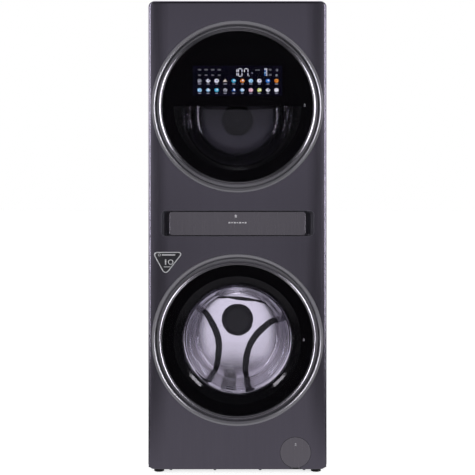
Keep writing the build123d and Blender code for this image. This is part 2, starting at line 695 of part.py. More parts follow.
def washer_spider():
    """The cast three-armed cross behind the drum, its shaft and the rotor nut."""
    back = WASHER_DRUM_BACK_Y
    spider = rod_y(48.0, back, back + 14, z=LOWER_Z)
    arm = block(30.0, WASHER_DRUM_R - 6, back, back + 12, LOWER_Z - 17, LOWER_Z + 17)
    spider += around(arm, 3, LOWER_Z, 90 + LIFTER_TURN)
    spider += rod_y(WASHER_SHAFT_R, back + 13, 262.0, z=LOWER_Z)
    nut = extrude_y(RegularPolygon(20.0, 6), 258.0, 266.0)
    return spider + Pos(0, 0, LOWER_Z) * nut


def drum_shell(radius, front, back, mouth, z):
    """A thin sheet drum, closed at the back, with a rolled lip round its mouth."""
    sheet = 1.0
    return turned(
        [
            (0, back - sheet),
            (radius - sheet, back - sheet),
            (radius - sheet, front + sheet),
            (mouth + sheet, front + sheet),
            (mouth + sheet, front + 10),
            (mouth, front + 10),
            (mouth, front),
            (radius, front),
            (radius, back),
            (0, back),
        ],
        z,
    )


def lifters(radius, front, back, height, z):
    """Three hollow-sided lifters on the drum wall, the lowest one near the bottom."""
    base, top = 32.0, 12.0
    section = Polygon(
        (-base, -radius - 5),
        (base, -radius - 5),
        (base * 0.55, -radius + height * 0.55),
        (top, -radius + height),
        (-top, -radius + height),
        (-base * 0.55, -radius + height * 0.55),
        align=None,
    )
    body = Pos(0, 0, z) * extrude_y(section, front, back)
    body &= rod_y(radius - 1.0, front - 1, back + 1, z=z)
    return around(body, 3, z, -LIFTER_TURN)


def washer_drum():
    return drum_shell(WASHER_DRUM_R, WASHER_DRUM_FRONT_Y, WASHER_DRUM_BACK_Y, 200.0, LOWER_Z)


def back_ribs():
    """Three arched ribs on the drum's end wall, each bowed towards the hub between two lifters."""
    centre, middle_r, half_width = 281.0, 192.0, 11.0
    y0, y1 = WASHER_DRUM_BACK_Y - 9, WASHER_DRUM_BACK_Y - 1
    rib = ring_y(middle_r + half_width, middle_r - half_width, y0, y1, z=LOWER_Z + centre)
    rib &= rod_y(WASHER_DRUM_R - 1.0, y0, y1, z=LOWER_Z)
    return around(rib, 3, LOWER_Z, -LIFTER_TURN)


def washer_lifters():
    back = WASHER_DRUM_BACK_Y - 1
    bars = lifters(WASHER_DRUM_R, WASHER_DRUM_FRONT_Y + 22, back, 56.0, LOWER_Z)
    pieces = [bar - back_ribs() for bar in bars] + back_ribs()
    return Compound(children=pieces)


def hub_cap(radius, back, z):
    return turned(
        [
            (0, back - 20),
            (radius * 0.72, back - 18),
            (radius * 0.92, back - 13),
            (radius, back - 5),
            (radius, back),
            (0, back),
        ],
        z,
    )


# Dryer


def dryer_drum():
    drum = drum_shell(DRYER_DRUM_R, DRYER_DRUM_FRONT_Y, DRYER_DRUM_BACK_Y, 214.0, DRYER_Z)
    return drum + rod_y(DRYER_SHAFT_R, DRYER_DRUM_BACK_Y - 0.5, BACK_Y - 5, z=DRYER_Z)


def dryer_lifters():
    """The dryer's three lifters and the cap over its hub."""
    back = DRYER_DRUM_BACK_Y - 1
    bars = lifters(DRYER_DRUM_R, DRYER_DRUM_FRONT_Y + 24, back, 50.0, DRYER_Z)
    return Compound(children=bars + [hub_cap(62.0, back, DRYER_Z)])


def dryer_front_ring():
    """The fixed bulkhead in front of the dryer drum, with the tunnel to the mouth and the filter slot."""
    tunnel_in, tunnel_out, bulk_y = 206.0, 210.0, DRYER_DRUM_FRONT_Y - 8
    ring = turned(
        [
            (tunnel_in, COLLAR_END_Y + 0.5),
            (tunnel_in, bulk_y),
            (272.0, bulk_y),
            (272.0, bulk_y - 4),
            (tunnel_out, bulk_y - 4),
            (tunnel_out, COLLAR_END_Y + 0.5),
        ],
        DRYER_Z,
    )
    for x0, x1 in ((-90.0, -60.0), (60.0, 90.0)):
        ring += block(x0, x1, bulk_y - 4, bulk_y, SHELF_TOP, 960.0)
    return ring - block(-82.0, 82.0, -264.0, -238.0, 985.0, 1030.0)


def lint_filter():
    case = block(-80.0, 80.0, -262.0, -240.0, 925.0, 1003.0)
    case -= block(-77.0, 77.0, -259.0, -243.0, 928.0, 998.0)
    for column in range(6):
        x = -62.5 + 25.0 * column
        case -= block(x - 10, x + 10, -263.0, -239.0, 935.0, 985.0)
    return case


def dryer_roller(side):
    x = side * ROLLER_X
    wheel = ring_y(ROLLER_R, 6.0 + RUNNING, -185.0, -165.0, x, ROLLER_Z)
    return wheel - ring_y(20.0, 11.0, -186.0, -181.0, x, ROLLER_Z)


def dryer_belt():
    """The flat belt round the drum and the motor pulley."""
    spread = BELT_GAP + BELT_THICK

    def loop(extra):
        drum = Circle(DRYER_DRUM_R + extra)
        pulley = Pos(MOTOR_X, MOTOR_Z - DRYER_Z) * Circle(PULLEY_R + extra)
        return make_hull((drum.edges() + pulley.edges()))

    return Pos(0, 0, DRYER_Z) * extrude_y(loop(spread) - loop(BELT_GAP), 60.0, 70.0)


def dryer_motor():
    motor = rod_y(48.0, 90.0, 210.0, MOTOR_X, MOTOR_Z)
    motor += block(MOTOR_X - 25, MOTOR_X + 25, 100.0, 200.0, SHELF_TOP, MOTOR_Z - 35)
    return motor - rod_y(7.0 + RUNNING, 89.0, 211.0, MOTOR_X, MOTOR_Z)


def motor_pulley():
    """The dryer motor's shaft with the belt pulley at its front and the blower wheel at its rear."""
    shaft = rod_y(7.0, 54.0, 262.0, MOTOR_X, MOTOR_Z)
    shaft += rod_y(PULLEY_R, 60.0, 70.0, MOTOR_X, MOTOR_Z)
    shaft += rod_y(58.0, 226.0, 229.0, MOTOR_X, MOTOR_Z)
    blade = block(30.0, 58.0, 228.5, 256.0, -1.0, 1.0)
    blades = [Pos(MOTOR_X, 0, MOTOR_Z) * Rot(0, 15.0 * i, 0) * Pos(0, 0, 8) * blade for i in range(24)]
    ring = ring_y(58.0, 54.0, 254.0, 257.0, MOTOR_X, MOTOR_Z)
    return shaft + blades + ring


def heat_pump_module():
    """The compressor on the right and the two finned heat exchangers on the left."""
    compressor = rod_y(46.0, -190.0, 20.0, MOTOR_X, 955.0)
    compressor = fillet(compressor.edges(), 12.0)
    compressor += block(MOTOR_X - 30, MOTOR_X + 30, -160.0, -10.0, SHELF_TOP, 920.0)
    coils = []
    for y0, y1 in ((-200.0, -20.0), (0.0, 180.0)):
        coil = block(-285.0, -190.0, y0, y1, SHELF_TOP, 1000.0)
        for fin in range(18):
            y = y0 + 9.0 + 9.6 * fin
            coil -= block(-286.0, -189.0, y - 3, y + 3, 912.0, 990.0)
        coil += [rod_y(5.0, y0, y1, -250.0, 950.0), rod_y(5.0, y0, y1, -225.0, 950.0)]
        coils.append(coil)
    return Compound(children=[compressor] + coils)


def all_parts():
    parts = {
        "front_panel": front_panel(),
        "left_side_panel": side_panel(-1),
        "right_side_panel": side_panel(1),
        "top_cover": top_cover(),
        "rear_panel": rear_panel(),
        "base_tray": base_tray(),
        "middle_shelf": middle_shelf(),
        "front_left_foot": foot(-FOOT_X, FOOT_FRONT_Y),
        "front_right_foot": foot(FOOT_X, FOOT_FRONT_Y),
        "rear_feet": Compound(children=[foot(-FOOT_X, FOOT_REAR_Y), foot(FOOT_X, FOOT_REAR_Y)]),
        "panel_screws": panel_screws(),
        "hinge_brackets": hinge_brackets(),
        "door_locks": door_locks(),
        "display_module": display_module(),
        "dispenser_housing": dispenser_housing(),
        "detergent_drawer": detergent_drawer(),
        "drawer_front": drawer_front(),
        "inlet_valve": inlet_valve(),
        "cord_gland": cord_gland(),
        "drain_pump": drain_pump(),
        "filter_flap": filter_flap(),
        "filter_plug": filter_plug(),
        "washer_gasket": washer_gasket(),
        "tub_front": tub_front(),
        "tub_rear": tub_rear(),
        "counterweights": counterweights(),
        "tub_springs": tub_springs(),
        "damper_cylinders": damper_cylinders(),
        "damper_rods": damper_rods(),
        "motor_stator": motor_stator(),
        "motor_rotor": motor_rotor(),
        "washer_bearings": washer_bearings(),
        "washer_spider": washer_spider(),
        "washer_drum": washer_drum(),
        "washer_lifters": washer_lifters(),
        "washer_hub_cap": hub_cap(58.0, WASHER_DRUM_BACK_Y - 1, LOWER_Z),
        "dryer_drum": dryer_drum(),
        "dryer_lifters": dryer_lifters(),
        "dryer_front_ring": dryer_front_ring(),
        "lint_filter": lint_filter(),
        "dryer_roller_left": dryer_roller(-1),
        "dryer_roller_right": dryer_roller(1),
        "dryer_belt": dryer_belt(),
        "dryer_motor": dryer_motor(),
        "motor_pulley": motor_pulley(),
        "heat_pump_module": heat_pump_module(),
    }
    for name, (door_z, bowl_z) in DOORS.items():
        parts[f"{name}_door_surround"] = door_surround(door_z, bowl_z)
        parts[f"{name}_door_bezel"] = door_bezel(door_z, bowl_z)
        parts[f"{name}_door_glass"] = door_glass(door_z, bowl_z)
        parts[f"{name}_door_frame"] = door_frame(door_z, bowl_z)
        parts[f"{name}_door_bowl"] = door_bowl(door_z, bowl_z)
        parts[f"{name}_door_rear_ring"] = door_rear_ring(door_z, bowl_z)
        parts[f"{name}_latch_hook"] = latch_hook(door_z)
    return parts


os.makedirs("parts", exist_ok=True)
for node, shape in all_parts().items():
    export_step(shape, f"parts/{node}.step")
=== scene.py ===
import math

import bmesh
import bpy
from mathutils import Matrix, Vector


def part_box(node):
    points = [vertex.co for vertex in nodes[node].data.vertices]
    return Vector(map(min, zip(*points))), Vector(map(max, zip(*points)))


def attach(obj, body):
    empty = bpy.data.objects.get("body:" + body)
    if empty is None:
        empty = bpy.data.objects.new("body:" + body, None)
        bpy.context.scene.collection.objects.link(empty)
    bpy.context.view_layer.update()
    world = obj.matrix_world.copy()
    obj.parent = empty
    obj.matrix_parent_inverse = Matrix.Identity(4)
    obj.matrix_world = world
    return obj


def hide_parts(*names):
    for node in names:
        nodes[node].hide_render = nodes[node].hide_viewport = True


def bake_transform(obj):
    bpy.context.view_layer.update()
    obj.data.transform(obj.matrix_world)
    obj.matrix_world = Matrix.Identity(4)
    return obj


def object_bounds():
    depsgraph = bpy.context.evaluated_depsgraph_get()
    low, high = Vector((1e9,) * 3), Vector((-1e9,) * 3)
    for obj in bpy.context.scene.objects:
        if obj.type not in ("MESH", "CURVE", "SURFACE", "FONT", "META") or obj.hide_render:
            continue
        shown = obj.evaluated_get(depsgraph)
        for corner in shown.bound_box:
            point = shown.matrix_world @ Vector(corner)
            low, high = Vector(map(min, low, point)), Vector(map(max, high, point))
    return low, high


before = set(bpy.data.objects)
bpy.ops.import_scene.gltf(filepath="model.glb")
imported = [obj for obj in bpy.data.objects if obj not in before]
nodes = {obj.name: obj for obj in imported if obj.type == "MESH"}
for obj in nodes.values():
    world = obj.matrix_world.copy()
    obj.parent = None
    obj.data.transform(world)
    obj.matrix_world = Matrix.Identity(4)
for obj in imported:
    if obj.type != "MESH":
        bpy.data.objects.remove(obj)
cadLow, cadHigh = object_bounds()
bpy.ops.object.select_all(action="DESELECT")
mm = 0.001
fullTurn = 2 * math.pi
facingFront = math.pi / 2
square = math.pi / 4  # turns a four-sided tile so that its sides lie level and upright
print("frame loaded")


def middleOf(node):
    low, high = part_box(node)
    return (low + high) / 2


# Node materials

def colour(hexText):
    # an sRGB hex value as linear light
    parts = [int(hexText[i:i + 2], 16) / 255 for i in (0, 2, 4)]
    return tuple(p / 12.92 if p <= 0.04045 else ((p + 0.055) / 1.055) ** 2.4 for p in parts) + (1.0,)


def addNode(tree, kind, inputs={}, **settings):
    # one node with its settings, its values and its links
    node = tree.nodes.new("ShaderNode" + kind)
    for name, value in settings.items():
        setattr(node, name, value)
    for name, value in inputs.items():
        if isinstance(value, bpy.types.NodeSocket):
            tree.links.new(value, node.inputs[name])
        else:
            node.inputs[name].default_value = value
    return node


def newMaterial(name):
    made = bpy.data.materials.new(name)
    made.use_nodes = True
    made.node_tree.nodes.clear()
    return made, made.node_tree


def closeMaterial(tree, shader):
    addNode(tree, "OutputMaterial", {"Surface": shader})


def grainMaterial(name, dark, light, rough, grainMm, stretch=(1, 1, 1), bumpMm=0.02, **sockets):
    # a Principled surface whose tone, gloss and height follow one grain of a real size
    made, tree = newMaterial(name)
    place = addNode(tree, "TexCoord").outputs["Object"]
    place = addNode(tree, "Mapping", {"Vector": place, "Scale": stretch}).outputs[0]
    pattern = {"Vector": place, "Scale": 1 / (grainMm * mm), "Detail": 3.0, "Roughness": 0.6}
    grain = addNode(tree, "TexNoise", pattern)
    tone = addNode(tree, "Mix", {0: grain.outputs[0], 6: colour(dark), 7: colour(light)}, data_type="RGBA")
    spread = {"Value": grain.outputs[0], "To Min": rough * 0.85, "To Max": rough * 1.15}
    gloss = addNode(tree, "MapRange", spread)
    relief = addNode(tree, "Bump", {"Height": grain.outputs[0], "Distance": bumpMm * mm})
    inputs = {"Base Color": tone.outputs[2], "Roughness": gloss.outputs[0], "Normal": relief.outputs[0]}
    inputs.update({key.replace("_", " "): value for key, value in sockets.items()})
    closeMaterial(tree, addNode(tree, "BsdfPrincipled", inputs).outputs[0])
    return made


def paneMaterial(name, tint, shine):
    # a thin clear pane: it lets light straight through and mirrors more towards grazing
    made, tree = newMaterial(name)
    facing = addNode(tree, "LayerWeight", {"Blend": 0.5}).outputs["Facing"]
    slope = addNode(tree, "Math", {0: facing, 1: 5.0}, operation="POWER").outputs[0]
    share = addNode(tree, "MapRange", {"Value": slope, "To Min": shine, "To Max": 0.9}).outputs[0]
    through = addNode(tree, "BsdfTransparent", {"Color": colour(tint)}).outputs[0]
    mirror = addNode(tree, "BsdfGlossy", {"Color": (1, 1, 1, 1), "Roughness": 0.01}).outputs[0]
    closeMaterial(tree, addNode(tree, "MixShader", {0: share, 1: through, 2: mirror}).outputs[0])
    return made


def castGlassMaterial(name, tint, rippleMm):
    # thick pressed glass that bends what is seen through it, and lets the lamp's light into the drum
    made, tree = newMaterial(name)
    place = addNode(tree, "TexCoord").outputs["Object"]
    ripple = addNode(tree, "TexNoise", {"Vector": place, "Scale": 1 / (rippleMm * mm), "Detail": 1.0})
    relief = addNode(tree, "Bump", {"Height": ripple.outputs[0], "Distance": 0.3 * mm, "Strength": 0.6})
    inputs = {"Color": colour(tint), "Roughness": 0.02, "IOR": 1.47, "Normal": relief.outputs[0]}
    solid = addNode(tree, "BsdfGlass", inputs).outputs[0]
    clear = addNode(tree, "BsdfTransparent", {"Color": colour(tint)}).outputs[0]
    shadow = addNode(tree, "LightPath").outputs["Is Shadow Ray"]
    closeMaterial(tree, addNode(tree, "MixShader", {0: shadow, 1: solid, 2: clear}).outputs[0])
    return made


def litMaterial(name, first, second, strength, patchMm=5.0):
    # ink lit from behind, in two tones that run into each other
    made, tree = newMaterial(name)
    place = addNode(tree, "TexCoord").outputs["Object"]
    patch = addNode(tree, "TexNoise", {"Vector": place, "Scale": 1 / (patchMm * mm), "Detail": 1.0})
    patch = addNode(tree, "MapRange", {"Value": patch.outputs[0], "From Min": 0.4, "From Max": 0.6}).outputs[0]
    tone = addNode(tree, "Mix", {0: patch, 6: colour(first), 7: colour(second)}, data_type="RGBA").outputs[2]
    inputs = {"Base Color": (0.0, 0.0, 0.0, 1.0), "Roughness": 0.5, "Specular IOR Level": 0.0}
    inputs.update({"Emission Color": tone, "Emission Strength": strength})
    closeMaterial(tree, addNode(tree, "BsdfPrincipled", inputs).outputs[0])
    return made


def turnedMaterial(name, dark, light, rough, ringMm, centres, **sockets):
    # turned metal: fine rings round the nearer door's middle, which draw the light out along them
    made, tree = newMaterial(name)
    place = addNode(tree, "SeparateXYZ", {0: addNode(tree, "TexCoord").outputs["Object"]})
    low, high = sorted(centres)
    upper = addNode(tree, "Math", {0: place.outputs[2], 1: (low + high) / 2}, operation="GREATER_THAN")
    centre = addNode(tree, "MapRange", {"Value": upper.outputs[0], "To Min": low, "To Max": high})
    height = addNode(tree, "Math", {0: place.outputs[2], 1: centre.outputs[0]}, operation="SUBTRACT")
    flat = addNode(tree, "CombineXYZ", {0: place.outputs[0], 1: height.outputs[0]})
    radius = addNode(tree, "VectorMath", {0: flat.outputs[0]}, operation="LENGTH").outputs["Value"]
    along = addNode(tree, "CombineXYZ", {0: radius, 1: place.outputs[1]})
    ring = addNode(tree, "TexNoise", {"Vector": along.outputs[0], "Scale": 1 / (ringMm * mm), "Detail": 2.0})
    tone = addNode(tree, "Mix", {0: ring.outputs[0], 6: colour(dark), 7: colour(light)}, data_type="RGBA")
    spread = {"Value": ring.outputs[0], "To Min": rough * 0.8, "To Max": rough * 1.2}
    gloss = addNode(tree, "MapRange", spread)
    inputs = {"Base Color": tone.outputs[2], "Roughness": gloss.outputs[0], "Metallic": 1.0}
    inputs.update({key.replace("_", " "): value for key, value in sockets.items()})
    closeMaterial(tree, addNode(tree, "BsdfPrincipled", inputs).outputs[0])
    return made


def drumMaterial(name, dark, light, drums, hole):
    # stainless sheet: brushed round the drum and punched with small holes in even rows
    made, tree = newMaterial(name)
    place = addNode(tree, "SeparateXYZ", {0: addNode(tree, "TexCoord").outputs["Object"]})
    low, high = sorted(drums)
    upper = addNode(tree, "Math", {0: place.outputs[2], 1: (low + high) / 2}, operation="GREATER_THAN")
    centre = addNode(tree, "MapRange", {"Value": upper.outputs[0], "To Min": low, "To Max": high})
    height = addNode(tree, "Math", {0: place.outputs[2], 1: centre.outputs[0]}, operation="SUBTRACT")
    angle = addNode(tree, "Math", {0: height.outputs[0], 1: place.outputs[0]}, operation="ARCTAN2")
    across = addNode(tree, "Math", {0: angle.outputs[0], 1: hole["perTurn"] / fullTurn}, operation="MULTIPLY")
    deep = addNode(tree, "Math", {0: place.outputs[1], 1: 1 / (hole["pitchMm"] * mm)}, operation="MULTIPLY")
    cells = []
    for value in (across.outputs[0], deep.outputs[0]):
        part = addNode(tree, "Math", {0: value}, operation="FRACT")
        cells.append(addNode(tree, "Math", {0: part.outputs[0], 1: 0.5}, operation="SUBTRACT").outputs[0])
    cell = addNode(tree, "CombineXYZ", {0: cells[0], 1: cells[1]}).outputs[0]
    spot = addNode(tree, "VectorMath", {0: cell}, operation="LENGTH").outputs["Value"]
    size = hole["sizeMm"] / hole["pitchMm"] / 2
    sheet = addNode(tree, "MapRange", {"Value": spot, "From Min": size, "From Max": size * hole["softEdge"]})
    brush = addNode(tree, "CombineXYZ", {0: deep.outputs[0], 1: height.outputs[0]})
    streak = addNode(tree, "TexNoise", {"Vector": brush.outputs[0], "Scale": 9.0, "Detail": 3.0})
    steel = addNode(tree, "Mix", {0: streak.outputs[0], 6: colour(dark), 7: colour(light)}, data_type="RGBA")
    shade = colour(hole["shade"])
    tone = addNode(tree, "Mix", {0: sheet.outputs[0], 6: shade, 7: steel.outputs[2]}, data_type="RGBA")
    dimple = {"Height": sheet.outputs[0], "Distance": hole["deepMm"] * mm, "Strength": 0.6}
    relief = addNode(tree, "Bump", dimple)
    inputs = {"Base Color": tone.outputs[2], "Metallic": 1.0, "Roughness": 0.24, "Normal": relief.outputs[0]}
    closeMaterial(tree, addNode(tree, "BsdfPrincipled", inputs).outputs[0])
    return made


punching = {"perTurn": 60, "pitchMm": 25.0, "sizeMm": 4.5, "softEdge": 1.3, "shade": "26262a", "deepMm": 0.8}
doorCentres = [middleOf("lower_door_surround").z, middleOf("upper_door_surround").z]
drumCentres = [middleOf("washer_drum").z, middleOf("dryer_drum").z]

# Coated sheet steel with a fine upright brushing, drawn coarser than its real 0.1 mm so that it shows
brushedCoat = grainMaterial("brushedTitaniumCoatedSteel", "797483", "868190", 0.24, 2.6, (1, 1, 0.02), 0.004,
                            Metallic=1.0)
# Moulded cover with the same film: a shade lighter, with the same upright grain
brushedFilm = grainMaterial("brushedFilmOnAbs", "86818c", "96919b", 0.26, 2.6, (1, 1, 0.02), 0.004,
                            Metallic=0.9)
# Baked enamel on folded sheet: smooth and dark, with a faint orange peel
enamel = grainMaterial("bakedEnamelSteel", "2b2930", "33313a", 0.38, 5.0, (1, 1, 1), 0.03, Coat_Weight=0.3)
finishes = {
    "cabinet_paint": enamel,
    # hot-dip zinc: pale blue-grey, mottled in patches of about 12 mm
    "galvanised_steel": grainMaterial("hotDipGalvanisedSteel", "7f868c", "a9afb3", 0.42, 12.0, Metallic=1.0),
    # zinc-plated brackets: brighter and more even
    "bracket_steel": grainMaterial("zincPlatedSteel", "84868c", "a6a8ac", 0.35, 6.0, Metallic=1.0),
    # vacuum-metallised ABS: dark titanium with fine rings from the tool
    "surround_trim": turnedMaterial("metallisedAbs", "a3a1a9", "c2c0c8", 0.3, 1.2, doorCentres, Metallic=0.8),
    # polished anodised aluminium: soft bright bands along the beads
    "bezel_metal": turnedMaterial("anodisedAluminium", "8f8b95", "b3b0b9", 0.24, 1.0, doorCentres),
    # toughened glass, coated against glare: almost clear
    "door_glass": paneMaterial("toughenedGlass", "f5f4f7", 0.002),
    # pressed borosilicate: clear with a cold edge and soft ripples
    "bowl_glass": castGlassMaterial("pressedGlass", "f6f6fa", 25.0),
    # high-gloss black ABS: deep black with sharp highlights
    "door_black": grainMaterial("glossBlackAbs", "060608", "09090c", 0.08, 20.0, bumpMm=0.0),
    # moulded grey ABS, finely eroded
    "ring_grey": grainMaterial("erodedGreyAbs", "4d4d52", "57575c", 0.55, 1.5),
    "display_glow": grainMaterial("displayHousingAbs", "0a0b10", "101118", 0.4, 2.0),
    # mineral-filled polypropylene: dull black with a fine grain
    "black_plastic": grainMaterial("grainedPolypropylene", "101012", "1b1b1e", 0.6, 2.0, bumpMm=0.05),
    # the recess round the drawer: satin moulded ABS in the cabinet's colour
    "recess_grey": grainMaterial("satinMouldedAbs", "5a5761", "696771", 0.4, 4.0, (1, 1, 0.05), 0.01,
                                 Metallic=0.6),
    "panel_plastic": brushedFilm,
    # natural polypropylene: off-white, slightly waxy
    "drawer_plastic": grainMaterial("whitePolypropylene", "c9cbcc", "d8dadb", 0.42, 8.0,
                                    Subsurface_Weight=0.05),
    # EPDM rubber: matt grey with a faint bloom
    "gasket_rubber": grainMaterial("greyEpdmRubber", "3c3d40", "505156", 0.6, 5.0, bumpMm=0.05),
    "black_rubber": grainMaterial("blackNitrileRubber", "0c0c0d", "171718", 0.7, 3.0, bumpMm=0.08),
    # glass-filled polypropylene: pale grey with dull flow marks
    "tub_plastic": grainMaterial("glassFilledPolypropylene", "a9acab", "bfc1bf", 0.55, 14.0, bumpMm=0.06),
    # cast concrete: pitted and uneven
    "counterweight_stone": grainMaterial("castConcrete", "6d6b68", "979591", 0.9, 7.0, bumpMm=0.6),
    "drum_steel": drumMaterial("punchedStainlessSteel", "a8a3ab", "d0ccd3", drumCentres, punching),
    "lifter_black": grainMaterial("blackGlassFilledNylon", "0b0b0e", "141318", 0.25, 4.0, bumpMm=0.03,
                                  Specular_IOR_Level=0.07),
    # die-cast aluminium: bright grey, slightly pebbled
    "cast_alloy": grainMaterial("dieCastAluminium", "8e9093", "b0b2b4", 0.45, 3.0, bumpMm=0.08, Metallic=1.0),
    "motor_steel": grainMaterial("electrocoatedSteel", "17181b", "26272b", 0.45, 4.0, Coat_Weight=0.2),
    # fine polyester mesh in its frame: threads at about 1 mm, drawn at 3 mm
    "filter_mesh": grainMaterial("polyesterMesh", "27303d", "4a5766", 0.7, 3.0, bumpMm=0.2),
}
for node in nodes.values():
    for place in node.material_slots:
        place.material = finishes[place.material.name.split(".")[0]]
nodes["front_panel"].material_slots[0].material = brushedCoat
# the dryer's drum gets a darker copy of the drum steel: painted shade for its dim inside
dryerDrumShadedSteel = drumMaterial("shadedDryerDrumSteel", "4a484e", "68656d", drumCentres, punching)
nodes["dryer_drum"].material_slots[0].material = dryerDrumShadedSteel
print("materials made")

# Modelling by operators

def startPiece(name):
    # the primitive just added goes into edit mode with nothing selected
    piece = bpy.context.object
    piece.name = name
    piece.data.name = name
    bpy.ops.object.transform_apply(location=True, rotation=True, scale=True)
    bpy.ops.object.mode_set(mode="EDIT")
    bpy.ops.mesh.select_all(action="DESELECT")
    return piece


def choose(piece, kind, test):
    # selects faces, edges or corners by their middle and their direction
    bpy.ops.mesh.select_mode(type=kind)
    bpy.ops.mesh.select_all(action="DESELECT")
    shape = bmesh.from_edit_mesh(piece.data)
    shape.normal_update()
    if kind == "FACE":
        for face in shape.faces:
            face.select_set(bool(test(face.calc_center_median(), face.normal)))
    elif kind == "EDGE":
        for edge in shape.edges:
            first, last = (v.co for v in edge.verts)
            edge.select_set(bool(test((first + last) / 2, (last - first).normalized())))
    else:
        for corner in shape.verts:
            corner.select_set(bool(test(corner.co, corner.normal)))
    bmesh.update_edit_mesh(piece.data)


def endPiece(piece, body, slotName, *materials, smooth=40, bevel=0.0, segments=2):
    # closed, facing outwards, eased at its edges and carried by its body
    bpy.ops.mesh.select_mode(type="VERT")
    bpy.ops.mesh.select_all(action="SELECT")
    bpy.ops.mesh.remove_doubles(threshold=1e-6)
    bpy.ops.mesh.normals_make_consistent(inside=False)
    bpy.ops.mesh.select_all(action="DESELECT")
    bpy.ops.object.mode_set(mode="OBJECT")
    if bevel:
        ease = piece.modifiers.new("ease", "BEVEL")
        ease.width = bevel * mm
        ease.segments = segments
        ease.angle_limit = math.radians(35)
        bpy.ops.object.modifier_apply(modifier=ease.name)
    bpy.ops.object.shade_smooth_by_angle(angle=math.radians(smooth))
    for material in materials:
        piece.data.materials.append(material)
    if body:
        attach(piece, body)
    piece.select_set(False)
    return piece


def lathePiece(name, profile, centre, steps=128):
    # (radius, y) pairs in millimetres: one corner extruded along them, then spun round the Y direction
    radius, y = profile[0]
    bpy.ops.mesh.primitive_plane_add(size=mm, location=(centre.x + radius * mm, y * mm, centre.z))
    piece = startPiece(name)
    bpy.ops.mesh.select_all(action="SELECT")
    bpy.ops.mesh.merge(type="CENTER")
    bpy.ops.mesh.select_mode(type="VERT")
    for (radius, y), (nextRadius, nextY) in zip(profile, profile[1:]):
        move = ((nextRadius - radius) * mm, (nextY - y) * mm, 0)
        bpy.ops.mesh.extrude_vertices_move(TRANSFORM_OT_translate={"value": move})
    bpy.ops.mesh.select_all(action="SELECT")
    bpy.ops.mesh.spin(steps=steps, angle=fullTurn, center=(centre.x, 0, centre.z), axis=(0, 1, 0))
    return piece


def flatPiece(name, sides, radius, centre, y, thickMm, turn=0.0, scale=(1, 1)):
    # a thin tile facing the front, with its back at y
    bpy.ops.mesh.primitive_circle_add(vertices=sides, radius=radius * mm, fill_type="NGON",
                                      location=(centre[0] * mm, y * mm, centre[1] * mm),
                                      rotation=(facingFront, turn, 0))
    piece = startPiece(name)
    bpy.ops.mesh.select_all(action="SELECT")
    middle = Vector((centre[0], y, centre[1])) * mm
    bpy.ops.transform.resize(value=(scale[0], 1, scale[1]), center_override=middle)
    bpy.ops.mesh.extrude_region_move(TRANSFORM_OT_translate={"value": (0, -thickMm * mm, 0)})
    return piece


# Door glass: each pane has a black border on its back, and the upper one is printed black above its middle

upperGlass = middleOf("upper_door_glass")
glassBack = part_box("upper_door_glass")[1].y / mm
glassPrint = {"inner": 213.9, "outer": 251.0, "edge": upperGlass.z / mm, "gap": 0.1, "thick": 0.1,
              "border": 0.15, "sides": 160}
frit = grainMaterial("blackCeramicFrit", "040305", "070609", 0.4, 30.0, bumpMm=0.0, Specular_IOR_Level=0.02)
pane = {"radius": 252.1, "front": -323.5, "back": -320.2, "edge": 0.7}
piece = flatPiece("upperGlassPrint", glassPrint["sides"], glassPrint["outer"], (0, glassPrint["edge"]),
                  glassBack - glassPrint["gap"], glassPrint["thick"])
bpy.ops.mesh.select_all(action="SELECT")
bpy.ops.mesh.bisect(plane_co=(0, 0, upperGlass.z), plane_no=(0, 0, 1), clear_inner=True, use_fill=True)
endPiece(piece, "upper_door", "door_black", frit, smooth=30)
for door in ("lower", "upper"):
    centre = Vector((0, 0, middleOf(door + "_door_glass").z))
    profile = [(0, pane["front"]), (pane["radius"] - pane["edge"], pane["front"]),
               (pane["radius"], pane["front"] + pane["edge"]), (pane["radius"], pane["back"] - pane["edge"]),
               (pane["radius"] - pane["edge"], pane["back"]), (0, pane["back"])]
    piece = lathePiece(door + "ToughenedPane", profile, centre, glassPrint["sides"])
    piece = endPiece(piece, door + "_door", "door_glass", finishes["door_glass"], smooth=30)
    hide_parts(door + "_door_glass")
    back = glassBack - glassPrint["gap"]
    front = back - glassPrint["border"]
    ring = [(glassPrint["inner"], back), (glassPrint["inner"], front), (glassPrint["outer"], front),
            (glassPrint["outer"], back), (glassPrint["inner"], back)]
    piece = lathePiece(door + "GlassBorder", ring, centre, glassPrint["sides"])
    endPiece(piece, door + "_door", "door_black", frit, smooth=30)

# Display: a dark lit field with ten icons in each of two rows, small labels, figures and marks over them

housing = {"setBack": 1.0, "wall": 6.0, "hollow": 3.0, "corner": 14.0, "ease": 0.6}
display = {"left": -127.0, "pitch": 28.6, "rows": (1318.0, 1287.0), "icon": 7.4, "captionDrop": 10.5,
           "digitX": (-8.0, 9.0, 29.0), "digitZ": 1346.0, "digitHeight": 25.0, "digitWidth": 12.0,
           "fieldZ": 1318.0, "fieldHalf": (212.0, 71.0), "fieldLift": 0.28, "inkLift": 0.36, "inkThick": 0.05,
           "overInk": 0.06, "labelX": (-127.0, -105.0, -83.0, -61.0), "labelRows": (1355.0, 1337.0)}
low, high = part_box("display_module")
middle = (low + high) / 2
setBack = housing["setBack"] * mm
bpy.ops.mesh.primitive_cube_add(size=1, location=(middle.x, middle.y + setBack / 2, middle.z))
bpy.context.object.dimensions = (high.x - low.x, high.y - low.y - setBack, high.z - low.z)
piece = startPiece("displayHousing")
choose(piece, "FACE", lambda c, n: n.y > 0.9)
bpy.ops.mesh.inset(thickness=housing["wall"] * mm)
bpy.ops.mesh.extrude_region_move(TRANSFORM_OT_translate={"value": (0, -housing["hollow"] * mm, 0)})
choose(piece, "EDGE", lambda c, d: abs(d.y) > 0.9 and abs(c.x) > high.x - 2 * mm)
bpy.ops.mesh.bevel(offset=housing["corner"] * mm, segments=6)
